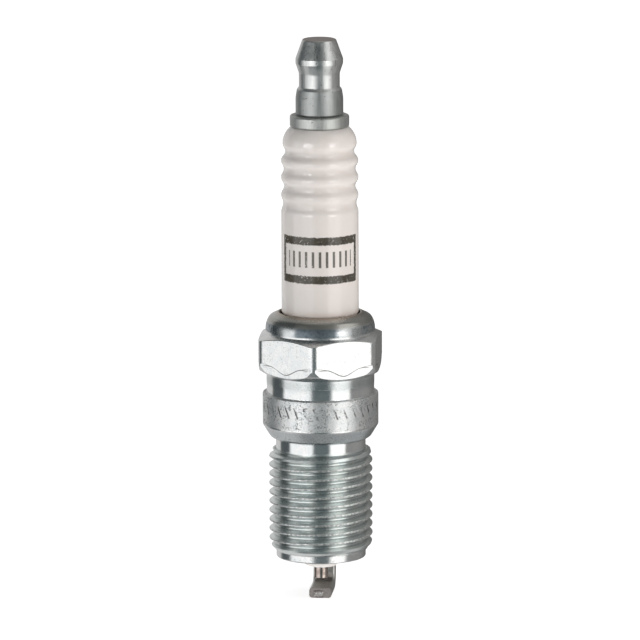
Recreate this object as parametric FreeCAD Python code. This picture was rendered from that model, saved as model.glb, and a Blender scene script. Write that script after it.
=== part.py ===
import FreeCAD, Part
import math
import os

# Spark plug: M14 x 1.25 thread, conical seat, 5/8 inch hexagon, screw-on terminal nut.
# Millimetres. Z is the plug's axis and points to the terminal. Z = 0 is the plane where the
# conical seat is SEAT_GAUGE_RADIUS wide. -Y is the front: the earth electrode is welded at the back.

# --- shell: crimped lip, hexagon, neck, collar, conical seat
LIP_RADIUS = 7.36
LIP_BEND = (14.46, 2.7)    # the lip leans in at this height, with this bending radius
LIP_BROW = (6.82, 15.33, 0.84)
LIP_CREST = (5.61, 15.9, 0.36)
LIP_MOUTH_RADIUS = 5.42
LIP_MOUTH_TOP = 15.84
LIP_THROAT_RADIUS = 5.34
LIP_WALL = 0.95
HEX_ACROSS_FLATS = 15.875
HEX_CORNER_RADIUS = 1.5
HEX_TURN = -6.5            # degrees from the front to the nearest corner
HEX_FACE_TOP = 12.99       # top of a flat, at its middle
HEX_TOP_ANGLE = 24.0       # degrees, slope of the top chamfer
HEX_BOTTOM = 7.55
HEX_FOOT_RADIUS = 7.34     # the underside rises from here, round its heel, to the skirt
HEX_HEEL = (8.55, 8.3)
HEX_SKIRT = (9.3, 9.9)
HEX_EDGE_ROUND = 0.1
SCALLOP_HIGH = 9.3         # forming line across the lower part of each flat
SCALLOP_LOW = 8.33
SCALLOP_HALF_WIDTH = 2.6
SCALLOP_DEPTH = 0.08
NECK_RADIUS = 7.26
NECK_WAIST = 0.03          # the neck is this much slimmer beside the collar
NECK_WAIST_TOP = 5.8       # from here to NECK_BOTTOM the neck grows to its full radius
NECK_BOTTOM = 6.4
NECK_BEND = 4.0
COLLAR_RADIUS = 7.79
COLLAR_TOP = 4.92
COLLAR_TOP_ROUND = 0.17
COLLAR_FOOT_ROUND = 0.3
SEAT_GAUGE_RADIUS = 7.4
SEAT_HALF_ANGLE = 31.5     # degrees, the 63 degree conical seat
SEAT_BOTTOM = -1.25
SEAT_FOOT_ROUND = 1.05
RELIEF_RADIUS = 6.05
REACH = 17.6               # seat gauge plane to the shell's end
PILOT_RADIUS = 6.03
PILOT_ROUND = 0.2

# --- shell: stamped ticks round the collar
TICK_COUNT = 36
TICK_HEIGHT = 1.5
TICK_WIDTH = 0.18
TICK_DEPTH = 0.08
TICK_TILT = -22.0
TICK_Z = 3.2

# --- shell thread
THREAD_PITCH = 1.25
THREAD_CREST_RADIUS = 6.97
THREAD_ROOT_RADIUS = 6.19
THREAD_TOP = -2.8
THREAD_BOTTOM = -16.6
THREAD_TURN = 78.0         # degrees from +X to where the ridge starts
THREAD_FADE = 1.7          # length over which the crest grows to its full radius

# --- shell bore, from the crimp down to the firing end
BODY_BORE_RADIUS = 6.35
BODY_BORE_TOP = 14.14
BODY_BORE_BOTTOM = 1.35
CORE_BORE_RADIUS = 4.85
CORE_BORE_BOTTOM = -5.2
NOSE_BORE_RADIUS = 4.45
NOSE_BORE_CHAMFER = 0.2

# --- insulator
BARREL_RADIUS = 5.18
BARREL_BOTTOM = 16.0
PACKED_RADIUS = 4.9
PACKED_TOP = 14.6          # from here the insulator widens to the barrel
SHOULDER_RADIUS = 6.2
SHOULDER_TOP = 8.6
SHOULDER_BOTTOM = 1.9
CORE_RADIUS = 4.7
CORE_BOTTOM = -4.7
NOSE_ROOT_RADIUS = 3.45
NOSE_ROOT = -6.8
NOSE_TIP_RADIUS = 2.25
NOSE_TIP = -18.9
INSULATOR_TOP = 41.0
CROWN_ROUND = 2.72         # the insulator's rounded top, above its highest crest
RIB_PITCH = 2.32
RIB_LOWEST_GROOVE = 30.66
GROOVE_RADII = (4.92, 4.79, 4.82, 4.63)
CREST_RADII = (5.18, 5.18, 5.18, 4.97)
BORE_RADIUS = 2.0
BORE_LEDGE = -3.0
WIRE_BORE_RADIUS = 1.0

# --- terminal stud and nut
FLANGE_RADIUS = 3.98
FLANGE_TOP = 42.58
FLANGE_ROUND = 0.25
STUD_THREAD_RADIUS = 1.99
STUD_THREAD_ROOT = 1.57
STUD_THREAD_PITCH = 0.7
STUD_TOP = 50.2
STUD_SHANK_RADIUS = 1.85
STUD_BOTTOM = 10.6
LOCK_GROOVES = 6           # V grooves that key the stud's foot into the glass
LOCK_GROOVE_TOP = 13.8
LOCK_GROOVE_PITCH = 0.5
LOCK_GROOVE_DEPTH = 0.2
NUT_BORE_RADIUS = 2.05
NUT_BORE_TOP = 50.7
NUT_TOP = 52.8
NUT_TOP_RADIUS = 2.25
NUT_HEAD_RADIUS = 3.19
NUT_HEAD_TOP = 50.2
NUT_HEAD_BOTTOM = 49.55
NUT_NECK_RADIUS = 2.74
NUT_NECK_TOP = 48.22
NUT_NECK_BOTTOM = 46.4
NUT_STEP = (3.02, 46.05)   # edge of the step below the neck
NUT_BARREL_RADIUS = 3.2
NUT_BARREL_TOP = 44.9
NUT_FOOT_RADIUS = 2.95

# --- conducting stack inside the insulator
ELECTRODE_RADIUS = 0.95
ELECTRODE_TIP = -20.65
ELECTRODE_HEAD_RADIUS = 1.6
ELECTRODE_HEAD_TOP = -1.2
COPPER_RADIUS = 0.5
COPPER_BOTTOM = -18.4
LOWER_SEAL_TOP = 2.2
RESISTOR_TOP = 8.2
UPPER_SEAL_TOP = 13.4

# --- seals between the insulator and the shell
GASKET_INNER_RADIUS = 5.0
GASKET_OUTER_RADIUS = 5.95
LOWER_RING_RADIUS = 5.85
LOWER_RING_WIRE = 0.44
LOWER_RING_Z = 9.62
UPPER_RING_RADIUS = 5.6
UPPER_RING_WIRE = 0.45
UPPER_RING_Z = 14.0

# --- earth electrode
STRAP_WIDTH = 3.0
STRAP_THICKNESS = 1.35
STRAP_EDGE = 0.38
STRAP_ROOT_RADIUS = 5.1
STRAP_AZIMUTH = 84.5       # degrees from +X, so the root is at the back
STRAP_INNER_BEND = 1.0
SPARK_GAP = 1.2
STRAP_REACH = 1.5          # the tip's end face, past the axis

ORIGIN = FreeCAD.Vector(0, 0, 0)
UP = FreeCAD.Vector(0, 0, 1)


def at(r, z):
    """The point at radius r and height z in the outline's plane."""
    return FreeCAD.Vector(r, 0, z)


class Outline:
    """An outline in the radius-height half plane, drawn edge by edge and then turned about Z."""

    def __init__(self, r, z):
        self.first = at(r, z)
        self.here = self.first
        self.edges = []

    def line(self, r, z):
        end = at(r, z)
        if (end - self.here).Length > 1e-6:
            self.edges.append(Part.LineSegment(self.here, end).toShape())
        self.here = end

    def arc(self, middle, end):
        """A circular arc from here through middle to end."""
        self.edges.append(Part.Arc(self.here, at(*middle), at(*end)).toShape())
        self.here = at(*end)

    def sweep(self, r, z, radius, start, end):
        """A circular arc about (r, z), from one angle in radians to the other."""
        middle, last = (
            (r + radius * math.cos(angle), z + radius * math.sin(angle))
            for angle in ((start + end) / 2, end)
        )
        self.arc(middle, last)

    def path(self, *points):
        """Lines through (r, z) points. A third number rounds that corner with its radius."""
        for i, point in enumerate(points):
            corner = at(point[0], point[1])
            if len(point) == 2:
                self.line(*point)
                continue
            after = at(points[i + 1][0], points[i + 1][1])
            back = (self.here - corner).normalize()
            ahead = (after - corner).normalize()
            half = back.getAngle(ahead) / 2
            start = corner + back * (point[2] / math.tan(half))
            end = corner + ahead * (point[2] / math.tan(half))
            inward = (back + ahead).normalize()
            middle = corner + inward * (point[2] / math.sin(half) - point[2])
            self.line(start.x, start.z)
            self.arc((middle.x, middle.z), (end.x, end.z))

    def turned(self):
        """Close the outline and revolve it into a solid."""
        self.line(self.first.x, self.first.z)
        return Part.Face(Part.Wire(self.edges)).revolve(ORIGIN, UP, 360)


def turned(*points):
    """A solid of revolution from one closed list of outline points."""
    outline = Outline(*points[0][:2])
    outline.path(*points[1:])
    return outline.turned()


def thread_ridge(pitch, root, crest, bottom, top):
    """The helical ridge of a right-hand 60 degree thread with a rounded crest.

    It starts and ends a turn beyond bottom and top, and reaches 0.1 of the pitch inside the root.
    """
    sink = 0.1 * pitch
    slope = math.tan(math.radians(30))
    crest_half = 0.075 * pitch
    base_half = crest_half + (crest - root + sink) * slope
    shoulder = crest - 0.06 * pitch
    shoulder_half = crest_half + (crest - shoulder) * slope
    ridge = [
        Part.LineSegment(at(root - sink, -base_half), at(shoulder, -shoulder_half)),
        Part.Arc(at(shoulder, -shoulder_half), at(crest, 0), at(shoulder, shoulder_half)),
        Part.LineSegment(at(shoulder, shoulder_half), at(root - sink, base_half)),
        Part.LineSegment(at(root - sink, base_half), at(root - sink, -base_half)),
    ]
    section = Part.Wire([edge.toShape() for edge in ridge])
    helix = Part.makeHelix(pitch, top - bottom + 2 * pitch, root)
    solid = Part.Wire(helix.Edges).makePipeShell([section], True, True)
    solid.translate(at(0, bottom - pitch))
    return solid


def ring(radius, wire, z):
    """A round wire ring about the axis."""
    return Part.makeTorus(radius, wire, at(0, z), UP)


def seat_radius(z):
    """Radius of the conical seat at height z."""
    return SEAT_GAUGE_RADIUS + z * math.tan(math.radians(SEAT_HALF_ANGLE))


def seat_height(r):
    """Height at which the conical seat reaches radius r."""
    return (r - SEAT_GAUGE_RADIUS) / math.tan(math.radians(SEAT_HALF_ANGLE))


# --- shell

def hexagon():
    """The wrench hexagon with its formed steps, cut to its top chamfer and its rounded underside."""
    flat = HEX_ACROSS_FLATS / 2
    corner = flat / math.cos(math.radians(30))
    corners = []
    for k in range(7):
        angle = math.radians(HEX_TURN - 90 + 60 * k)
        corners.append(FreeCAD.Vector(corner * math.cos(angle), corner * math.sin(angle), HEX_BOTTOM))
    prism = Part.Face(Part.makePolygon(corners)).extrude(at(0, LIP_MOUTH_TOP - HEX_BOTTOM))
    upright = [e for e in prism.Edges if abs(e.Vertexes[0].Z - e.Vertexes[1].Z) > 1]
    prism = prism.makeFillet(HEX_CORNER_RADIUS, upright)
    prism = prism.cut(Part.makeCompound([scallop(HEX_TURN + 30 + 60 * k) for k in range(6)]))
    slope = math.tan(math.radians(HEX_TOP_ANGLE))
    inner = LIP_RADIUS - 0.5
    outer = HEX_SKIRT[0]
    envelope = turned(
        (0, HEX_BOTTOM),
        (HEX_FOOT_RADIUS, HEX_BOTTOM),
        (*HEX_HEEL, 0.75),
        HEX_SKIRT,
        (outer, HEX_FACE_TOP - (outer - flat) * slope),
        (inner, HEX_FACE_TOP + (flat - inner) * slope),
        (0, HEX_FACE_TOP + (flat - inner) * slope),
    )
    return rounded_chamfers(prism.common(envelope))


def rounded_chamfers(block):
    """The block with a small round wherever a turned chamfer meets one of its upright faces."""
    edges = []
    for edge in block.Edges:
        sloped = [
            face
            for face in block.ancestorsOfType(edge, Part.Face)
            if isinstance(face.Surface, (Part.Cone, Part.Toroid))
        ]
        if len(sloped) == 1 and not isinstance(edge.Curve, (Part.Circle, Part.Line)):
            edges.append(edge)
    return block.makeFillet(HEX_EDGE_ROUND, edges)


def scallop(turn):
    """The cutter for the shallow formed step below a wavy line on one flat of the hexagon."""
    flat = HEX_ACROSS_FLATS / 2 - SCALLOP_DEPTH
    side = 4.9
    middle = (SCALLOP_HIGH + SCALLOP_LOW) / 2
    half = SCALLOP_HALF_WIDTH
    wave = [
        (-side, SCALLOP_HIGH),
        (-half, SCALLOP_HIGH),
        (-half / 2, middle),
        (0, SCALLOP_LOW),
        (half / 2, middle),
        (half, SCALLOP_HIGH),
        (side, SCALLOP_HIGH),
    ]
    line = Part.BSplineCurve()
    line.interpolate([FreeCAD.Vector(u, -flat, z) for u, z in wave])
    low_left = FreeCAD.Vector(-side, -flat, HEX_BOTTOM - 1)
    low_right = FreeCAD.Vector(side, -flat, HEX_BOTTOM - 1)
    edges = [
        line.toShape(),
        Part.LineSegment(FreeCAD.Vector(side, -flat, SCALLOP_HIGH), low_right).toShape(),
        Part.LineSegment(low_right, low_left).toShape(),
        Part.LineSegment(low_left, FreeCAD.Vector(-side, -flat, SCALLOP_HIGH)).toShape(),
    ]
    cutter = Part.Face(Part.Wire(edges)).extrude(FreeCAD.Vector(0, -1, 1))
    cutter.rotate(ORIGIN, UP, turn)
    return cutter


def tick(turn):
    """The cutter for one slanted tick stamped in the collar."""
    depth = TICK_DEPTH + 0.5
    cutter = Part.makeBox(TICK_WIDTH, depth, TICK_HEIGHT)
    cutter.translate(FreeCAD.Vector(-TICK_WIDTH / 2, 0, -TICK_HEIGHT / 2))
    cutter.rotate(ORIGIN, FreeCAD.Vector(0, 1, 0), TICK_TILT)
    cutter.translate(FreeCAD.Vector(0, -COLLAR_RADIUS - 0.5, TICK_Z))
    cutter.rotate(ORIGIN, UP, turn)
    return cutter


def shell_thread():
    """The M14 ridge, faded in below the relief and chamfered at the pilot."""
    ridge = thread_ridge(THREAD_PITCH, THREAD_ROOT_RADIUS, THREAD_CREST_RADIUS, THREAD_BOTTOM, THREAD_TOP)
    inner = THREAD_ROOT_RADIUS - 0.3
    outer = THREAD_CREST_RADIUS + 0.2
    partial = THREAD_CREST_RADIUS - 0.3
    envelope = turned(
        (inner, THREAD_BOTTOM),
        (PILOT_RADIUS + 0.1, THREAD_BOTTOM),
        (partial, THREAD_BOTTOM + 0.55),
        (outer, THREAD_BOTTOM + THREAD_FADE),
        (outer, THREAD_TOP - THREAD_FADE),
        (partial, THREAD_TOP - 0.1),
        (RELIEF_RADIUS + 0.2, THREAD_TOP),
        (inner, THREAD_TOP),
    )
    return ridge.common(envelope)


def shell():
    outline = Outline(NOSE_BORE_RADIUS + NOSE_BORE_CHAMFER, -REACH)
    outline.path(
        (PILOT_RADIUS, -REACH, PILOT_ROUND),
        (PILOT_RADIUS, THREAD_BOTTOM),
        (THREAD_ROOT_RADIUS, THREAD_BOTTOM + 0.2),
        (THREAD_ROOT_RADIUS, THREAD_TOP - 0.2),
        (RELIEF_RADIUS, THREAD_TOP),
        (RELIEF_RADIUS, SEAT_BOTTOM),
        (seat_radius(SEAT_BOTTOM), SEAT_BOTTOM, SEAT_FOOT_ROUND),
        (COLLAR_RADIUS, seat_height(COLLAR_RADIUS), COLLAR_FOOT_ROUND),
        (COLLAR_RADIUS, COLLAR_TOP, COLLAR_TOP_ROUND),
        (NECK_RADIUS - NECK_WAIST, COLLAR_TOP, 0.1),
        (NECK_RADIUS - NECK_WAIST, NECK_WAIST_TOP, NECK_BEND),
        (NECK_RADIUS, NECK_BOTTOM, NECK_BEND),
        (NECK_RADIUS, HEX_BOTTOM + 0.5),
        (LIP_RADIUS, HEX_BOTTOM + 0.6),
        (LIP_RADIUS, *LIP_BEND),
        LIP_BROW,
        LIP_CREST,
        (LIP_MOUTH_RADIUS, LIP_MOUTH_TOP),
        (LIP_THROAT_RADIUS, LIP_MOUTH_TOP - LIP_WALL / 2),
        (LIP_MOUTH_RADIUS, LIP_MOUTH_TOP - LIP_WALL, 0.1),
        (BODY_BORE_RADIUS, BODY_BORE_TOP, 0.9),
        (BODY_BORE_RADIUS, BODY_BORE_BOTTOM),
        (CORE_BORE_RADIUS, BODY_BORE_BOTTOM + CORE_BORE_RADIUS - BODY_BORE_RADIUS),
        (CORE_BORE_RADIUS, CORE_BORE_BOTTOM),
        (NOSE_BORE_RADIUS, CORE_BORE_BOTTOM - 0.8),
        (NOSE_BORE_RADIUS, NOSE_BORE_CHAMFER - REACH),
    )
    body = outline.turned().fuse(shell_thread())
    body.rotate(ORIGIN, UP, THREAD_TURN)
    body = body.fuse(hollow(hexagon()))
    cutters = [tick(360 / TICK_COUNT * (k + 0.5)) for k in range(TICK_COUNT)]
    return body.cut(Part.makeCompound(cutters)).removeSplitter()


def hollow(block):
    """The hexagon with the shell's body bore opened through it."""
    return block.cut(Part.makeCylinder(BODY_BORE_RADIUS + 0.4, 20, at(0, 0), UP))


# --- insulator

def insulator():
    outline = Outline(WIRE_BORE_RADIUS, NOSE_TIP)
    outline.path(
        (NOSE_TIP_RADIUS, NOSE_TIP, 0.4),
        (NOSE_ROOT_RADIUS, NOSE_ROOT, 2.0),
        (CORE_RADIUS, CORE_BOTTOM, 0.6),
        (CORE_RADIUS, SHOULDER_BOTTOM + CORE_RADIUS - SHOULDER_RADIUS, 0.2),
        (SHOULDER_RADIUS, SHOULDER_BOTTOM, 0.3),
        (SHOULDER_RADIUS, SHOULDER_TOP, 0.3),
        (PACKED_RADIUS, SHOULDER_TOP + SHOULDER_RADIUS - PACKED_RADIUS, 0.3),
        (PACKED_RADIUS, PACKED_TOP),
        (BARREL_RADIUS, BARREL_BOTTOM),
    )
    add_ribs(outline)
    add_crown(outline)
    outline.path(
        (BORE_RADIUS + 0.2, INSULATOR_TOP),
        (BORE_RADIUS, INSULATOR_TOP - 0.2),
        (BORE_RADIUS, BORE_LEDGE),
        (WIRE_BORE_RADIUS, BORE_LEDGE - (BORE_RADIUS - WIRE_BORE_RADIUS)),
    )
    return outline.turned()


def bend_radius(rise, depth):
    """Radius of the arc that starts upright and moves sideways by depth over its rise."""
    return (rise ** 2 + depth ** 2) / (2 * depth)


def add_ribs(outline):
    """The barrel's upper end and four smooth grooves and crests, as arcs that meet half way.

    It starts on the barrel and ends on the highest crest.
    """
    below = BARREL_RADIUS
    rise = RIB_PITCH / 4
    for k, (groove, crest) in enumerate(zip(GROOVE_RADII, CREST_RADII)):
        z = RIB_LOWEST_GROOVE + RIB_PITCH * k
        lower = (groove + below) / 2
        upper = (groove + crest) / 2
        if k == 0:
            bend = bend_radius(rise, below - lower)
            outline.line(below, z - 2 * rise)
            outline.sweep(below - bend, z - 2 * rise, bend, 0, math.asin(rise / bend))
        outline.arc((groove, z), (upper, z + rise))
        if k + 1 < len(GROOVE_RADII):
            following = (GROOVE_RADII[k + 1] + crest) / 2
            outline.arc((crest, z + 2 * rise), (following, z + 3 * rise))
        below = crest
    bend = bend_radius(rise, crest - outline.here.x)
    outline.sweep(crest - bend, outline.here.z + rise, bend, -math.asin(rise / bend), 0)


def add_crown(outline):
    """The round from the highest crest over to the flat top."""
    low = outline.here
    top_angle = math.asin((INSULATOR_TOP - low.z) / CROWN_ROUND)
    outline.sweep(low.x - CROWN_ROUND, low.z, CROWN_ROUND, 0, top_angle)


# --- terminal

def terminal_nut():
    """Snap-on terminal head, neck and barrel, with a blind hole for the stud's thread."""
    return turned(
        (NUT_BORE_RADIUS, FLANGE_TOP),
        (NUT_FOOT_RADIUS, FLANGE_TOP),
        (NUT_BARREL_RADIUS, FLANGE_TOP + 0.22, 0.08),
        (NUT_BARREL_RADIUS, NUT_BARREL_TOP, 1.5),
        (*NUT_STEP, 0.35),
        (NUT_NECK_RADIUS, NUT_NECK_BOTTOM, 0.15),
        (NUT_NECK_RADIUS, NUT_NECK_TOP, 0.8),
        (NUT_HEAD_RADIUS, NUT_HEAD_BOTTOM, 0.25),
        (NUT_HEAD_RADIUS, NUT_HEAD_TOP, 0.25),
        (NUT_TOP_RADIUS, NUT_TOP, 0.3),
        (0, NUT_TOP),
        (0, NUT_BORE_TOP + 0.9),
        (NUT_BORE_RADIUS, NUT_BORE_TOP),
    )


def terminal_stud():
    """Threaded top, flange, and a long shank that ends in locking grooves."""
    thread_low = FLANGE_TOP + 0.8
    ridge = thread_ridge(STUD_THREAD_PITCH, STUD_THREAD_ROOT, STUD_THREAD_RADIUS, thread_low, STUD_TOP)
    inner = STUD_THREAD_ROOT - 0.15
    ridge = ridge.common(
        turned(
            (inner, thread_low),
            (STUD_THREAD_ROOT, thread_low),
            (STUD_THREAD_RADIUS + 0.1, thread_low + 0.4),
            (STUD_THREAD_RADIUS + 0.1, STUD_TOP - 0.75),
            (inner, STUD_TOP - 0.2),
        )
    )
    outline = Outline(0, STUD_TOP)
    outline.path(
        (STUD_THREAD_ROOT - 0.25, STUD_TOP),
        (STUD_THREAD_ROOT, STUD_TOP - 0.3),
        (STUD_THREAD_ROOT, FLANGE_TOP, 0.2),
        (FLANGE_RADIUS, FLANGE_TOP, FLANGE_ROUND),
        (FLANGE_RADIUS, INSULATOR_TOP, FLANGE_ROUND),
        (STUD_SHANK_RADIUS, INSULATOR_TOP),
    )
    for k in range(LOCK_GROOVES):
        z = LOCK_GROOVE_TOP - LOCK_GROOVE_PITCH * k
        outline.path(
            (STUD_SHANK_RADIUS, z),
            (STUD_SHANK_RADIUS - LOCK_GROOVE_DEPTH, z - 0.15),
            (STUD_SHANK_RADIUS, z - 0.3),
        )
    outline.path((STUD_SHANK_RADIUS, STUD_BOTTOM, 0.3), (0, STUD_BOTTOM))
    return outline.turned().fuse(ridge)


# --- conducting stack

def electrode_blank():
    """Centre electrode with its head, before the copper core is taken out."""
    drop = ELECTRODE_HEAD_RADIUS - ELECTRODE_RADIUS
    seat = BORE_LEDGE - (BORE_RADIUS - ELECTRODE_HEAD_RADIUS)
    return turned(
        (0, ELECTRODE_TIP),
        (ELECTRODE_RADIUS, ELECTRODE_TIP, 0.1),
        (ELECTRODE_RADIUS, seat - drop),
        (ELECTRODE_HEAD_RADIUS, seat),
        (ELECTRODE_HEAD_RADIUS, ELECTRODE_HEAD_TOP, 0.3),
        (0, ELECTRODE_HEAD_TOP),
    )


def copper_core():
    height = ELECTRODE_HEAD_TOP - COPPER_BOTTOM
    return Part.makeCylinder(COPPER_RADIUS, height, at(0, COPPER_BOTTOM), UP)


def bore_filling(bottom, top):
    """A plug that fills the insulator's bore between two heights."""
    return Part.makeCylinder(BORE_RADIUS, top - bottom, at(0, bottom), UP)


def lower_glass_seal():
    return bore_filling(BORE_LEDGE, LOWER_SEAL_TOP).cut(electrode_blank())


def upper_glass_seal(stud):
    return bore_filling(RESISTOR_TOP, UPPER_SEAL_TOP).cut(stud)


# --- seals between insulator and shell

def seat_gasket():
    """Soft steel washer pressed between the shell's and the insulator's 45 degree shoulders."""
    inner = GASKET_INNER_RADIUS
    outer = GASKET_OUTER_RADIUS
    low = BODY_BORE_BOTTOM - BODY_BORE_RADIUS
    high = SHOULDER_BOTTOM - SHOULDER_RADIUS
    return turned(
        (inner, inner + low),
        (outer, outer + low),
        (outer, outer + high),
        (inner, inner + high),
    )


def talc_packing():
    low = LOWER_RING_Z + LOWER_RING_WIRE
    high = UPPER_RING_Z - UPPER_RING_WIRE
    return turned(
        (PACKED_RADIUS + 0.02, low),
        (BODY_BORE_RADIUS, low),
        (BODY_BORE_RADIUS, high),
        (PACKED_RADIUS + 0.02, high),
    )


# --- earth electrode

def ground_electrode():
    """Flat strap, bent through 90 degrees so that it ends under the centre electrode."""
    bend = STRAP_INNER_BEND + STRAP_THICKNESS / 2
    run_z = ELECTRODE_TIP - SPARK_GAP - STRAP_THICKNESS / 2
    bend_r = STRAP_ROOT_RADIUS - bend
    sine = math.sin(math.radians(45))
    middle = at(bend_r + bend * sine, run_z + bend - bend * sine)
    path = Part.Wire(
        [
            Part.LineSegment(at(STRAP_ROOT_RADIUS, -REACH), at(STRAP_ROOT_RADIUS, run_z + bend)).toShape(),
            Part.Arc(at(STRAP_ROOT_RADIUS, run_z + bend), middle, at(bend_r, run_z)).toShape(),
            Part.LineSegment(at(bend_r, run_z), at(-STRAP_REACH, run_z)).toShape(),
        ]
    )
    section = Part.makeBox(STRAP_THICKNESS, STRAP_WIDTH, 1)
    section = section.makeFillet(STRAP_EDGE, [e for e in section.Edges if abs(e.tangentAt(0).z) > 0.9])
    start = FreeCAD.Vector(STRAP_ROOT_RADIUS - STRAP_THICKNESS / 2, -STRAP_WIDTH / 2, -REACH)
    section.translate(start)
    base = min(section.Faces, key=lambda f: f.CenterOfMass.z)
    strap = path.makePipeShell([base.OuterWire], True, True)
    strap.rotate(ORIGIN, UP, STRAP_AZIMUTH)
    return strap


def build():
    stud = terminal_stud()
    parts = {
        "shell": shell(),
        "ground_electrode": ground_electrode(),
        "insulator": insulator(),
        "terminal_nut": terminal_nut(),
        "terminal_stud": stud,
        "upper_glass_seal": upper_glass_seal(stud),
        "resistor": bore_filling(LOWER_SEAL_TOP, RESISTOR_TOP),
        "lower_glass_seal": lower_glass_seal(),
        "centre_electrode": electrode_blank().cut(copper_core()),
        "centre_electrode_core": copper_core(),
        "seat_gasket": seat_gasket(),
        "talc_packing": talc_packing(),
        "upper_packing_ring": ring(UPPER_RING_RADIUS, UPPER_RING_WIRE, UPPER_RING_Z),
        "lower_packing_ring": ring(LOWER_RING_RADIUS, LOWER_RING_WIRE, LOWER_RING_Z),
    }
    os.makedirs("parts", exist_ok=True)
    for name, shape in parts.items():
        solids = shape.Solids
        print(f"{name}: {len(solids)} solid, {shape.Volume:.1f} mm3, valid {shape.isValid()}")
        shape = solids[0] if len(solids) == 1 else Part.makeCompound(solids)
        shape.exportStep(f"parts/{name}.step")


build()
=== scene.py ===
import math

import bmesh
import bpy
from mathutils import Matrix, Vector


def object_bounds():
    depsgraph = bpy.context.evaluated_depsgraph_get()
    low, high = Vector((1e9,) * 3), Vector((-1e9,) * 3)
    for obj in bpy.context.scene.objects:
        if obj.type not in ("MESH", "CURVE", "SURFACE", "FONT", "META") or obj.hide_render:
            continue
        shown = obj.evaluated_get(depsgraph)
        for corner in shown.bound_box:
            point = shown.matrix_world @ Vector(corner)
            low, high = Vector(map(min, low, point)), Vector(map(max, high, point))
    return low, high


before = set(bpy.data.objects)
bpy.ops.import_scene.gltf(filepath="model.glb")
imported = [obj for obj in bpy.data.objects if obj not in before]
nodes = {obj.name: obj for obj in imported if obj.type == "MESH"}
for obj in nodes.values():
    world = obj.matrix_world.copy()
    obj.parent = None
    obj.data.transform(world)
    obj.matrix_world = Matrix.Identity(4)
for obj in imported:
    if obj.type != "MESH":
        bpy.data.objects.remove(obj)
cad_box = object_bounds()

MM = 0.001

# ---------------------------------------------------------------- camera

CAMERA_ELEVATION = math.radians(10.5)
CAMERA_ROLL = math.radians(-0.22)
CAMERA_DISTANCE = 1.0
CAMERA_LENS = 419.0
CAMERA_AIM = Vector((-0.032 * MM, 0, 14.67 * MM))


def add_camera():
    data = bpy.data.cameras.new("camera")
    data.lens = CAMERA_LENS
    data.sensor_width = 36
    data.clip_start = 0.05
    data.clip_end = 50
    camera = bpy.data.objects.new("camera", data)
    back = Vector((0, -math.cos(CAMERA_ELEVATION), math.sin(CAMERA_ELEVATION)))
    place = Matrix.Translation(CAMERA_AIM + back * CAMERA_DISTANCE)
    aim = back.to_track_quat("Z", "Y").to_matrix().to_4x4()
    camera.matrix_world = place @ aim @ Matrix.Rotation(CAMERA_ROLL, 4, "Z")
    bpy.context.scene.collection.objects.link(camera)
    bpy.context.scene.camera = camera


# ---------------------------------------------------------------- node graphs

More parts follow.
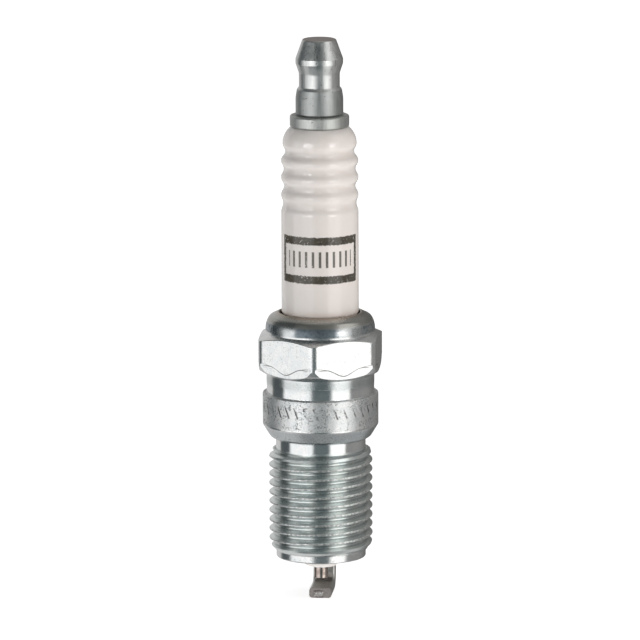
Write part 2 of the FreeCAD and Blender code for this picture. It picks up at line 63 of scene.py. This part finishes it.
class Graph:
    """A node tree under construction. Methods take sockets, numbers or RGB and return sockets."""

    def __init__(self, tree):
        self.tree = tree
        tree.nodes.clear()

    def add(self, kind, inputs=None, **settings):
        node = self.tree.nodes.new(kind)
        for key, value in settings.items():
            setattr(node, key, value)
        for key, value in (inputs or {}).items():
            self.put(node.inputs[key], value)
        return node

    def put(self, socket, value):
        if isinstance(value, bpy.types.NodeSocket):
            self.tree.links.new(value, socket)
        elif socket.type == "RGBA":
            socket.default_value = (*value, 1)
        else:
            socket.default_value = value

    def math(self, operation, a, b=0.0, c=0.0):
        return self.add("ShaderNodeMath", {0: a, 1: b, 2: c}, operation=operation).outputs[0]

    def product(self, first, *others):
        for other in others:
            first = self.math("MULTIPLY", first, other)
        return first

    def total(self, first, *others):
        for other in others:
            first = self.math("ADD", first, other)
        return first

    def smooth(self, value, low, high, start=0.0, end=1.0):
        """A smooth step of value from start at low to end at high."""
        limits = {"Value": value, "From Min": low, "From Max": high, "To Min": start, "To Max": end}
        node = self.add("ShaderNodeMapRange", limits, interpolation_type="SMOOTHSTEP")
        return node.outputs["Result"]

    def band(self, value, low, high, soft):
        """One between low and high and zero outside, with soft edges."""
        rise = self.smooth(value, low - soft, low + soft)
        fall = self.smooth(value, high - soft, high + soft, 1.0, 0.0)
        return self.math("MULTIPLY", rise, fall)

    def patch(self, across, level, box, soft=(0.05, 0.05)):
        """One inside a box of left, right, low and high, and zero outside, with soft edges."""
        left, right, low, high = box
        columns = self.band(across, left, right, soft[0])
        return self.math("MULTIPLY", columns, self.band(level, low, high, soft[1]))

    def mix(self, factor, a, b, blend="MIX"):
        node = self.add("ShaderNodeMix", {"Factor": factor}, data_type="RGBA", blend_type=blend)
        self.put(node.inputs[6], a)
        self.put(node.inputs[7], b)
        return node.outputs[2]

    def steps(self, value, low, high, stops):
        """A colour that changes in steps: each stop is (value, colour), from low up to high."""
        place = self.add("ShaderNodeMapRange", {"Value": value, "From Min": low, "From Max": high})
        node = self.add("ShaderNodeValToRGB", {"Fac": place.outputs["Result"]})
        ramp = node.color_ramp
        ramp.interpolation = "CONSTANT"
        while len(ramp.elements) < len(stops):
            ramp.elements.new(1.0)
        for element, (at, colour) in zip(ramp.elements, stops):
            element.position = (at - low) / (high - low)
            element.color = (*colour, 1)
        return node.outputs["Color"]

    def noise(self, vector, scale, detail=2.0, rough=0.5, stretch=None):
        """Fractal noise with scale features per unit, squeezed by stretch along each axis."""
        if stretch:
            vector = self.add("ShaderNodeMapping", {"Vector": vector, "Scale": stretch}).outputs[0]
        settings = {"Vector": vector, "Scale": scale, "Detail": detail, "Roughness": rough}
        return self.add("ShaderNodeTexNoise", settings).outputs["Fac"]

    def parts(self, vector):
        return self.add("ShaderNodeSeparateXYZ", {0: vector}).outputs

    def vector(self, x, y, z):
        return self.add("ShaderNodeCombineXYZ", {0: x, 1: y, 2: z}).outputs[0]

    def azimuth_of(self, x, y):
        """The angle about Z in radians, from zero at the front, -Y, up towards +X."""
        return self.math("ARCTAN2", x, self.math("MULTIPLY", y, -1.0))


class Finish(Graph):
    """A material. Its coordinates are millimetres in the plug's own frame."""

    SHEET_RADIUS = 7.0

    def __init__(self, name):
        self.material = bpy.data.materials.new(name)
        self.material.use_nodes = True
        super().__init__(self.material.node_tree)
        metres = self.add("ShaderNodeTexCoord").outputs["Object"]
        scaled = self.add("ShaderNodeVectorMath", {0: metres, "Scale": 1000.0}, operation="SCALE")
        self.place = scaled.outputs[0]
        self.x, self.y, self.z = self.parts(self.place)
        self.azimuth = self.azimuth_of(self.x, self.y)
        self.heights = []

    def raise_by(self, height, microns):
        """Add a height, from zero to one, to the surface's relief."""
        self.heights.append(self.math("MULTIPLY", height, microns))

    def scratches(self, tilt, scale, amount, seed=0.0):
        """Fine straight scratches on the unrolled surface, tilted from level by so many degrees."""
        arc = self.math("MULTIPLY", self.azimuth, self.SHEET_RADIUS)
        sheet = self.vector(arc, self.z, seed)
        turn = (0, 0, math.radians(tilt))
        turned = self.add("ShaderNodeMapping", {"Vector": sheet, "Rotation": turn})
        lines = self.noise(turned.outputs[0], scale, 3.0, 0.6, (0.08, 1.0, 1.0))
        return self.smooth(lines, 0.62 - amount, 0.7 - amount)

    def finish(self, **inputs):
        """Close the graph with a principled shader over the gathered relief."""
        if self.heights:
            relief = self.total(*self.heights)
            settings = {"Strength": 1.0, "Distance": 1e-6, "Height": relief}
            inputs["Normal"] = self.add("ShaderNodeBump", settings).outputs[0]
        shader = self.add("ShaderNodeBsdfPrincipled", inputs)
        self.add("ShaderNodeOutputMaterial", {"Surface": shader.outputs[0]})
        return self.material


# ---------------------------------------------------------------- studio

# The light of the room by direction seen from the plug.
STUDIO_LEFT = (0.1, 0.115, 0.12)
STUDIO_RIGHT = (0.31, 0.31, 0.305)
STUDIO_FRONT = (0.15, 0.18, 0.187)
STUDIO_FRONT_HIGH = (0.07, 0.08, 0.078)
STUDIO_BACK = (0.18, 0.18, 0.175)
STUDIO_BACK_HIGH = (0.36, 0.36, 0.35)
STUDIO_OVERHEAD = (0.75, 0.75, 0.74)
STUDIO_BELOW = (0.45, 0.45, 0.45)

# Panels in the room: azimuth left and right of the camera, lowest and highest elevation, softness
# of the edge, all in degrees, and the light's colour.
STUDIO_PANELS = [
    (-178, -75, -90, -36, 6, (0.75, 0.75, 0.75)),
    (-80, -24, -90, -56, 6, (0.4, 0.4, 0.4)),
    (28, 80, -90, -56, 6, (0.5, 0.5, 0.5)),
    (75, 178, -90, -36, 6, (0.55, 0.55, 0.55)),
    (-178, -126, -40, 34, 5, (0.68, 0.68, 0.68)),
    (-86, -20, -36, 16, 5, (1.2, 1.21, 1.22)),
    (24, 66, -48, 24, 5, (1.5, 1.5, 1.48)),
    (42, 96, 24, 60, 8, (1.2, 1.2, 1.18)),
    (-50, -22, -1, 12, 2, (5.0, 5.0, 5.0)),
    (31, 48, -1, 12, 2, (5.0, 5.0, 5.0)),
]
WHITE = (1, 1, 1)
FLOOR_RADIUS = 6.0
FLOOR_GLOW = 0.72


def room_light(graph, azimuth, elevation):
    """The room without its panels: dim in front, brighter behind, overhead and below."""
    high = graph.smooth(elevation, 15, 40)
    front = graph.mix(high, STUDIO_FRONT, STUDIO_FRONT_HIGH)
    back = graph.mix(high, STUDIO_BACK, STUDIO_BACK_HIGH)
    colour = graph.mix(graph.smooth(azimuth, -40, -80), front, STUDIO_LEFT)
    colour = graph.mix(graph.smooth(azimuth, 50, 80), colour, STUDIO_RIGHT)
    colour = graph.mix(graph.smooth(graph.math("ABSOLUTE", azimuth), 110, 155), colour, back)
    colour = graph.mix(graph.smooth(elevation, 62, 76), colour, STUDIO_OVERHEAD)
    return graph.mix(graph.smooth(elevation, -58, -74), colour, STUDIO_BELOW)


def add_world():
    """A soft studio of panels in a dim room, which the camera sees as white."""
    world = bpy.data.worlds.new("studio")
    world.use_nodes = True
    bpy.context.scene.world = world
    graph = Graph(world.node_tree)
    x, y, z = graph.parts(graph.add("ShaderNodeTexCoord").outputs["Generated"])
    azimuth = graph.math("MULTIPLY", graph.azimuth_of(x, y), 180 / math.pi)
    elevation = graph.math("MULTIPLY", graph.math("ARCSINE", z), 180 / math.pi)
    colour = room_light(graph, azimuth, elevation)
    for left, right, low, high, soft, light in STUDIO_PANELS:
        half = (right - left) / 2
        offset = graph.math("SUBTRACT", azimuth, (left + right) / 2)
        offset = graph.math("WRAP", offset, 180.0, -180.0)
        across = graph.band(offset, -half, half, soft)
        upright = graph.band(elevation, low, high, soft)
        colour = graph.mix(graph.product(across, upright), colour, light)
    lit = graph.add("ShaderNodeBackground", {"Color": colour})
    white = graph.add("ShaderNodeBackground", {"Color": WHITE})
    seen = graph.add("ShaderNodeLightPath").outputs["Is Camera Ray"]
    shader = graph.add("ShaderNodeMixShader", {0: seen, 1: lit.outputs[0], 2: white.outputs[0]})
    graph.add("ShaderNodeOutputWorld", {"Surface": shader.outputs[0]})


def add_floor():
    mesh = bpy.data.meshes.new("floor")
    bm = bmesh.new()
    bmesh.ops.create_circle(bm, cap_ends=True, radius=FLOOR_RADIUS, segments=96)
    bm.to_mesh(mesh)
    bm.free()
    floor = bpy.data.objects.new("floor", mesh)
    floor.location = (0, 0, cad_box[0][2])
    floor.visible_glossy = False
    bpy.context.scene.collection.objects.link(floor)
    g = Finish("floor")
    tone = g.mix(g.noise(g.place, 0.01), (0.9, 0.9, 0.9), (0.93, 0.93, 0.93))
    glow = {"Emission Color": WHITE, "Emission Strength": FLOOR_GLOW}
    mesh.materials.append(g.finish(**{"Base Color": tone, "Roughness": 0.9}, **glow))


# ---------------------------------------------------------------- shell

# Finish by height, each zone from its own height up: roughness, turning marks, scuffs.
SHELL_LOW, SHELL_HIGH = -24.0, 17.0
SHELL_ZONES = [
    (-24.0, (0.19, 0.5, 0.3)),    # plain end
    (-16.5, (0.25, 0.1, 0.05)),   # thread
    (-2.6, (0.12, 0.3, 0.1)),     # relief
    (-1.3, (0.24, 0.9, 0.45)),    # conical seat
    (0.7, (0.42, 0.2, 1.0)),      # collar
    (4.95, (0.12, 0.3, 0.15)),    # lower neck
    (6.4, (0.2, 1.0, 0.2)),       # upper neck
    (7.5, (0.22, 0.0, 0.36)),     # hexagon
    (13.5, (0.25, 0.2, 0.2)),     # crimped lip
]
THREAD_LOW, THREAD_HIGH = -16.4, -2.6
CREST_FOOT, CREST_RADIUS = 6.84, 6.94
GROOVE_TOP, GROOVE_RADIUS = 6.6, 6.3

# Tints of the plate, some of them darker bands of painted shade: from one height to another,
# softness of the ends, colour.
PLATE_TINTS_AND_SHADE = [
    (THREAD_LOW, THREAD_HIGH, 0.3, (0.96, 1.0, 0.99)),
    # The upper neck is darkened as painted shade under the hexagon.
    (6.2, 7.5, 0.5, (0.75, 0.78, 0.78)),      # upper neck
    # The conical seat is darkened as painted shade.
    (-1.3, 0.5, 0.2, (0.72, 0.75, 0.77)),     # conical seat
]

HEX_FLAT = 7.9375
HEX_TURN = math.radians(-6.5)
WAVE_HIGH, WAVE_LOW, WAVE_HALF_WIDTH = 9.3, 8.33, 2.6
COLLAR_RADIUS = 7.7
TICK_PITCH = math.radians(10)
TICK_TILT = math.radians(22)
TICK_LEVEL, TICK_HEIGHT = 3.2, 1.5

# The crimped lip. Its patches are azimuths in radians from and to, and the softness of their ends:
# lighter patches of painted reflection on the wall, and a patch of painted shade.
LIP_FOOT, LIP_WALL_TOP, LIP_BROW = 13.35, 14.5, 15.2
LIP_MOUTH_RADIUS = 5.7
REFLECTION_PATCHES = [(-0.92, -0.5, 0.06), (0.34, 0.85, 0.12)]
SHADE_PATCH = (-0.48, 0.3, 0.08)


def forming_step_shade(g):
    """A thin dark line of painted shade along the wavy forming step on the flats of the hexagon."""
    turn = g.math("SUBTRACT", g.azimuth, HEX_TURN)
    turn = g.math("WRAP", turn, math.pi / 3, 0.0)
    across = g.product(g.math("TANGENT", g.math("SUBTRACT", turn, math.pi / 6)), HEX_FLAT)
    across = g.math("ABSOLUTE", across)
    level = g.smooth(across, 0.0, WAVE_HALF_WIDTH, WAVE_LOW, WAVE_HIGH)
    away = g.math("ABSOLUTE", g.math("SUBTRACT", g.z, level))
    fade = g.smooth(across, 3.2, 4.2, 1.0, 0.0)
    return g.product(g.smooth(away, 0.03, 0.1, 1.0, 0.0), fade)


def stamp_dirt(g):
    """Dirt in the leaning ticks that are stamped round the collar."""
    lean = g.product(g.math("SUBTRACT", g.z, TICK_LEVEL), math.tan(TICK_TILT) / COLLAR_RADIUS)
    turn = g.total(g.azimuth, lean, TICK_PITCH / 2)
    away = g.math("PINGPONG", turn, TICK_PITCH / 2)
    line = g.smooth(away, 0.012, 0.022, 1.0, 0.0)
    row = g.band(g.z, TICK_LEVEL - TICK_HEIGHT / 2, TICK_LEVEL + TICK_HEIGHT / 2, 0.05)
    patchy = g.smooth(g.noise(g.place, 0.8, 3.0, 0.6), 0.42, 0.58)
    return g.product(line, row, patchy)


def plate(g, grain, specks, scuff):
    """The tone of the zinc plate: clouded, dulled where it is scuffed, tinted by zone, speckled,
    with painted shade on the upper neck and conical seat.
    """
    cloud = g.noise(g.place, 0.8, 4.0, 0.6)
    tone = g.mix(g.smooth(cloud, 0.35, 0.65), (0.73, 0.745, 0.745), (0.79, 0.785, 0.775))
    dulled = g.product(g.smooth(grain, 0.3, 0.7, 0.2, 0.0), scuff)
    tone = g.mix(dulled, tone, (0.2, 0.22, 0.24))
    # Some tints are darker bands of painted shade: the upper neck and the conical seat.
    for low, high, soft, tint in PLATE_TINTS_AND_SHADE:
        tone = g.mix(g.band(g.z, low, high, soft), tone, tint, "MULTIPLY")
    return g.mix(g.product(specks, 0.7), tone, (0.1, 0.11, 0.11))


def thread_wear_and_painted_light(g, tone, radius):
    """Burnished and nicked crests, lightened as a painted highlight, over grooves darkened as
    painted shade. Returns the tone and where the crests are.
    """
    threaded = g.band(g.z, THREAD_LOW, THREAD_HIGH, 0.2)
    crest = g.product(threaded, g.smooth(radius, CREST_FOOT, CREST_RADIUS))
    nicked = g.smooth(g.noise(g.place, 3.5, 3.0, 0.7), 0.42, 0.58)
    # The crests are burnished, and lightened further as a painted highlight.
    burnished_and_highlit = g.mix(nicked, (0.95, 0.95, 0.94), (0.4, 0.41, 0.4))
    tone = g.mix(g.product(crest, 0.85), tone, burnished_and_highlit)
    inside = g.band(g.z, THREAD_LOW + 0.2, THREAD_HIGH - 0.2, 0.2)
    # The grooves are darkened as painted shade.
    groove_shade = g.product(inside, g.smooth(radius, GROOVE_TOP, GROOVE_RADIUS))
    return g.mix(g.product(groove_shade, 0.25), tone, (0.2, 0.21, 0.21)), crest


def lip_stain_and_painted_light(g, tone, radius):
    """Stains and painted shade on the crimped lip, with patches of painted reflection. Returns the
    tone, the mottling, and the patch of painted shade.
    """
    lip = g.smooth(g.z, LIP_FOOT, LIP_FOOT + 0.25)
    wall = g.product(lip, g.smooth(g.z, LIP_WALL_TOP + 0.4, LIP_WALL_TOP))
    # Lighter patches of painted reflection on the wall, where the darkening is thinned.
    painted_reflection = g.total(*(g.band(g.azimuth, *patch) for patch in REFLECTION_PATCHES))
    blotch = g.smooth(g.noise(g.place, 0.22, 2.0), 0.35, 0.6, 0.75, 1.0)
    # The wall's darkening is partly stain and partly painted shade.
    stain = g.product(wall, blotch, g.math("MULTIPLY_ADD", painted_reflection, -0.6, 1.0))
    mottle = g.smooth(g.noise(g.place, 2.6, 4.0, 0.7), 0.45, 0.62)
    tone = g.mix(stain, tone, g.mix(mottle, (0.34, 0.37, 0.39), (0.1, 0.12, 0.13)))
    below_brow = g.smooth(g.z, LIP_BROW + 0.4, LIP_BROW)
    # A darker, rougher patch of painted shade below the brow.
    painted_shade_patch = g.product(lip, g.band(g.azimuth, *SHADE_PATCH), below_brow)
    tone = g.mix(g.product(painted_shade_patch, 0.8), tone, (0.1, 0.13, 0.15))
    # The top of the lip is darkened as painted shade.
    top = g.product(lip, g.smooth(g.z, LIP_WALL_TOP, LIP_WALL_TOP + 0.4))
    tone = g.mix(g.product(top, 0.75), tone, (0.28, 0.27, 0.24))
    mouth = g.product(lip, g.smooth(radius, LIP_MOUTH_RADIUS + 0.6, LIP_MOUTH_RADIUS))
    tone = g.mix(g.product(mouth, 0.8), tone, (0.36, 0.3, 0.24))
    return tone, g.product(mottle, stain), painted_shade_patch


def zinc_steel():
    """Bright zinc plate: turned below the hexagon, scuffed on the collar, stained on the lip. It
    carries painted highlights on the thread crests, painted shade in the grooves, under the
    hexagon, on the seat, along the forming step and on the lip, and painted reflections on the lip.
    """
    g = Finish("zinc_steel")
    zones = g.steps(g.z, SHELL_LOW, SHELL_HIGH, SHELL_ZONES)
    rough, turning, scuff = g.add("ShaderNodeSeparateColor", {0: zones}).outputs
    radius = g.math("SQRT", g.total(g.product(g.x, g.x), g.product(g.y, g.y)))

    grain = g.noise(g.place, 6.0, 4.0, 0.65)
    patchy = g.smooth(g.noise(g.place, 0.6, 3.0, 0.6), 0.42, 0.58, 0.2, 1.0)
    specks = g.smooth(g.noise(g.place, 4.6, 3.0, 0.65), 0.52, 0.61)
    specks = g.product(specks, patchy, scuff)
    long_marks = g.scratches(62.0, 2.6, 0.02)
    cross_marks = g.scratches(-38.0, 3.4, 0.0, 5.0)
    fine_marks = g.scratches(12.0, 5.0, 0.0, 9.0)
    marks = g.product(g.total(long_marks, cross_marks, fine_marks), scuff)

    tone = plate(g, grain, specks, scuff)
    # Painted highlight on the thread crests and painted shade in the grooves.
    tone, crest = thread_wear_and_painted_light(g, tone, radius)
    tone = g.mix(g.product(stamp_dirt(g), 0.75), tone, (0.1, 0.1, 0.1))
    tone = g.mix(g.product(marks, 0.4), tone, (0.97, 0.97, 0.96))
    # Painted shade along the forming step on the hexagon's flats.
    tone = g.mix(g.product(forming_step_shade(g), 0.8), tone, (0.16, 0.16, 0.15))
    # Stain, painted shade and painted reflection on the lip.
    tone, mottled, painted_shade_patch = lip_stain_and_painted_light(g, tone, radius)

    turned = g.noise(g.place, 5.0, 3.0, 0.6, (0.12, 0.12, 2.4))
    g.raise_by(g.product(turned, turning), 9.0)
    g.raise_by(marks, -3.0)
    g.raise_by(specks, -4.0)
    g.raise_by(g.noise(g.place, 1.2, 2.0, 0.5), 5.0)
    g.raise_by(g.product(grain, scuff), 3.0)
    g.raise_by(mottled, 2.0)

    uneven = g.product(g.smooth(grain, 0.3, 0.8, -0.05, 0.1), g.math("ADD", scuff, 0.15))
    rough = g.total(rough, uneven, g.product(specks, 0.2))
    rough = g.total(rough, g.product(crest, 0.15), g.product(painted_shade_patch, 0.25))
    return g.finish(**{"Base Color": tone, "Metallic": 1.0, "Roughness": rough})


# ---------------------------------------------------------------- terminal

NUT_STEP_TOP, NUT_STEP_FOOT = 46.2, 45.9
NUT_HEAD_FOOT, NUT_HEAD_FULL = 48.9, 49.4
NUT_FACE_FOOT, NUT_FACE = 52.66, 52.78


def plated_steel(name, light, dark, roughness):
    """Satin plate with faint upright streaks and small nicks.

    The nut's head is smoother and its top face is dull, its brownish tone a painted reflection.
    All that is below the step under its neck is darker and rougher.
    """
    g = Finish(name)
    streaks = g.noise(g.place, 3.2, 3.0, 0.55, (1.0, 1.0, 0.1))
    cloud = g.noise(g.place, 1.4, 3.0, 0.6)
    nicks = g.smooth(g.noise(g.place, 3.0, 2.0, 0.5, (0.5, 0.5, 1.6)), 0.68, 0.74)
    head = g.smooth(g.z, NUT_HEAD_FOOT, NUT_HEAD_FULL)
    face = g.smooth(g.z, NUT_FACE_FOOT, NUT_FACE)
    below = g.smooth(g.z, NUT_STEP_TOP, NUT_STEP_FOOT)

    tone = g.mix(g.smooth(streaks, 0.3, 0.7), dark, light)
    tone = g.mix(g.smooth(cloud, 0.35, 0.7, 0.0, 0.35), tone, dark)
    tone = g.mix(g.product(nicks, 0.7), tone, (0.1, 0.1, 0.1))
    tone = g.mix(below, tone, (0.7, 0.71, 0.71), "MULTIPLY")
    # The top face's brownish tone is a painted reflection.
    tone = g.mix(g.product(face, 0.75), tone, (0.36, 0.3, 0.28))

    g.raise_by(streaks, 2.0)
    g.raise_by(cloud, 3.0)
    g.raise_by(nicks, -6.0)

    rough = g.math("SUBTRACT", roughness, g.product(head, 0.08))
    rough = g.total(rough, g.product(below, 0.1), g.product(face, 0.25))
    rough = g.total(rough, g.smooth(streaks, 0.3, 0.7, -0.04, 0.05))
    return g.finish(**{"Base Color": tone, "Metallic": 1.0, "Roughness": rough})


# ---------------------------------------------------------------- electrodes and inside pieces

# Boxes of left, right, low and high in the earth electrode's sheared end face: the burr, lightened
# as a painted highlight, and the creases round it, darkened as painted shade.
END_FACE = -1.35
BURR_HIGHLIGHT = (-1.0, 0.2, -22.96, -22.42)
CREASE_SHADE_ABOVE = (-1.05, 0.15, -22.32, -22.18)
CREASE_SHADE_BELOW = (-0.8, 0.15, -23.4, -23.02)


def drawn_alloy(name, light, dark, roughness, sheared=False):
    """Bare metal with drawn lines and stains. If sheared, it ends in the earth electrode's face,
    with a painted highlight on its burred patch and painted shade in the creases round it.
    """
    g = Finish(name)
    lines = g.noise(g.place, 9.0, 3.0, 0.6, (1.0, 1.0, 0.1))
    stain = g.noise(g.place, 1.8, 3.0, 0.6)
    tone = g.mix(g.smooth(stain, 0.35, 0.65), dark, light)
    rough = g.math("ADD", g.smooth(lines, 0.3, 0.7, -0.05, 0.06), roughness)
    if sheared:
        face, burr_highlight, crease_shade = sheared_end(g)
        tone = g.mix(face, tone, (0.92, 0.84, 0.83), "MULTIPLY")
        # The burred patch is lightened as a painted highlight.
        tone = g.mix(burr_highlight, tone, (1.0, 1.0, 0.98))
        # The creases round it are darkened as painted shade.
        tone = g.mix(g.product(crease_shade, 0.8), tone, (0.12, 0.11, 0.1))
        rough = g.math("SUBTRACT", rough, g.product(burr_highlight, 0.15))
        g.raise_by(burr_highlight, 120.0)
        g.raise_by(crease_shade, -60.0)
    g.raise_by(lines, 4.0)
    g.raise_by(stain, 6.0)
    return g.finish(**{"Base Color": tone, "Metallic": 1.0, "Roughness": rough})


def sheared_end(g):
    """The earth electrode's end face, the burred patch in it, lightened as a painted highlight, and
    the creases round that patch, darkened as painted shade.
    """
    face = g.smooth(g.y, END_FACE + 0.1, END_FACE)
    jitter = g.smooth(g.noise(g.place, 5.0, 3.0, 0.7), 0.3, 0.7, -0.12, 0.12)
    across = g.math("ADD", g.x, jitter)
    level = g.math("ADD", g.z, jitter)
    torn = g.smooth(g.noise(g.place, 3.2, 2.0, 0.6), 0.4, 0.58, 0.2, 1.0)
    burr_highlight = g.product(g.patch(across, level, BURR_HIGHLIGHT), torn)
    above = g.patch(across, level, CREASE_SHADE_ABOVE, (0.05, 0.04))
    below = g.patch(across, level, CREASE_SHADE_BELOW, (0.05, 0.04))
    return face, g.product(face, burr_highlight), g.product(face, g.total(above, below))


def powder(name, light, dark, scale):
    """A dull pressed or fired body with grains of two tones."""
    g = Finish(name)
    grain = g.noise(g.place, scale, 4.0, 0.7)
    tone = g.mix(g.smooth(grain, 0.35, 0.65), dark, light)
    rough = g.smooth(grain, 0.3, 0.7, 0.6, 0.85)
    g.raise_by(grain, 12.0)
    return g.finish(**{"Base Color": tone, "Roughness": rough})


# ---------------------------------------------------------------- insulator

# The printed panel, as boxes of left, right, low and high, in millimetres along the barrel's
# surface and up its axis.
BARREL_RADIUS = 5.18
PANEL = (-6.1, 6.1, 20.44, 26.76)
WINDOW = (-5.5, 5.5, 21.52, 25.68)
BARS = (-4.75, 4.75, 22.65, 24.8)
BARS_PITCH = 0.95

INK = (0.08, 0.07, 0.052)
# The glaze is painted darker and greyer on the left as painted shade, and lighter and warmer on the
# right as painted light.
GLAZE_SHADED_LEFT = (0.72, 0.68, 0.655)
GLAZE_LIT_RIGHT = (0.84, 0.775, 0.74)
BARE_ALUMINA = (0.84, 0.79, 0.76)


def printed_panel(g):
    """Worn ink: a plain frame with broad stripes at top and bottom, round a row of bars."""
    jitter = g.smooth(g.noise(g.place, 3.5, 3.0, 0.7), 0.2, 0.8, -0.09, 0.09)
    around = g.product(g.azimuth, BARREL_RADIUS)
    across = g.math("ADD", around, jitter)
    level = g.math("ADD", g.z, jitter)
    border = g.math("SUBTRACT", g.patch(across, level, PANEL), g.patch(across, level, WINDOW))
    row = g.patch(across, g.z, BARS, (0.02, 0.05))
    wave = g.math("PINGPONG", around, BARS_PITCH / 2)
    bars = g.product(row, g.smooth(wave, 0.12, 0.22, 1.0, 0.0))
    ink = g.math("ADD", border, g.product(bars, 0.9))
    flakes = g.smooth(g.noise(g.place, 3.2, 4.0, 0.75), 0.56, 0.68)
    rubbed = g.smooth(g.noise(g.place, 0.5, 2.0, 0.6), 0.42, 0.62, 0.25, 1.0)
    return g.product(ink, g.math("SUBTRACT", 1.0, g.product(flakes, rubbed, 0.75)))


def glazed_alumina():
    """White glaze over the barrel and ribs, bare alumina below the shell's lip. The glaze has
    painted shade on its left side and just above the lip, and painted light on its right side.
    """
    g = Finish("glazed_alumina")
    cloud = g.noise(g.place, 0.5, 3.0, 0.5)
    specks = g.smooth(g.noise(g.place, 3.0, 2.0, 0.5), 0.7, 0.76)
    deposit_and_shade = g.smooth(g.z, 16.9, 15.95)
    bare = g.smooth(g.z, 15.2, 14.8)
    ink = printed_panel(g)

    # Painted shade on the left side and painted light on the right side.
    tone = g.mix(g.smooth(g.x, -4.5, 4.5), GLAZE_SHADED_LEFT, GLAZE_LIT_RIGHT)
    tone = g.mix(g.smooth(cloud, 0.35, 0.65, 0.0, 0.05), tone, (0.72, 0.66, 0.6))
    tone = g.mix(g.product(specks, 0.2), tone, (0.5, 0.45, 0.4))
    # A brownish darkening just above the shell's lip: partly deposit, partly painted shade.
    tone = g.mix(g.product(deposit_and_shade, 0.45), tone, (0.62, 0.5, 0.42))
    tone = g.mix(bare, tone, BARE_ALUMINA)
    tone = g.mix(ink, tone, INK)

    g.raise_by(cloud, 1.5)
    g.raise_by(ink, 4.0)

    rough = g.math("MULTIPLY_ADD", bare, 0.5, 0.08)
    rough = g.total(rough, g.product(ink, 0.08), g.product(specks, 0.1))
    depth = {"Subsurface Weight": 1.0, "Subsurface Radius": (1, 1, 1), "Subsurface Scale": MM}
    return g.finish(**{"Base Color": tone, "Roughness": rough, "IOR": 1.6}, **depth)


# ---------------------------------------------------------------- painting

def paint(material, *names):
    for name in names:
        slots = nodes[name].data.materials
        slots.clear()
        slots.append(material)


def paint_metals():
    paint(zinc_steel(), "shell")
    satin = plated_steel("terminal_steel", (0.69, 0.695, 0.68), (0.55, 0.56, 0.55), 0.38)
    paint(satin, "terminal_nut")
    bright = plated_steel("stud_steel", (0.88, 0.88, 0.85), (0.7, 0.7, 0.67), 0.38)
    paint(bright, "terminal_stud")
    strap = drawn_alloy("nickel_alloy", (0.58, 0.56, 0.53), (0.45, 0.44, 0.42), 0.36, sheared=True)
    paint(strap, "ground_electrode")
    wire = drawn_alloy("centre_nickel", (0.56, 0.48, 0.43), (0.36, 0.29, 0.26), 0.2)
    paint(wire, "centre_electrode")
    copper = drawn_alloy("copper", (0.8, 0.46, 0.32), (0.66, 0.36, 0.24), 0.3)
    paint(copper, "centre_electrode_core")
    soft_steel = drawn_alloy("soft_steel", (0.5, 0.47, 0.42), (0.36, 0.33, 0.29), 0.4)
    paint(soft_steel, "seat_gasket", "upper_packing_ring", "lower_packing_ring")


def paint_ceramics():
    paint(glazed_alumina(), "insulator")
    seal = powder("glass_seal", (0.36, 0.27, 0.21), (0.2, 0.16, 0.14), 3.0)
    paint(seal, "upper_glass_seal", "lower_glass_seal")
    resistor = powder("resistor_glass", (0.15, 0.15, 0.16), (0.07, 0.07, 0.08), 4.0)
    paint(resistor, "resistor")
    talc = powder("talc", (0.82, 0.81, 0.78), (0.68, 0.67, 0.64), 5.0)
    paint(talc, "talc_packing")


add_camera()
add_world()
add_floor()
paint_metals()
paint_ceramics()
bpy.context.scene.view_settings.view_transform = "Standard"
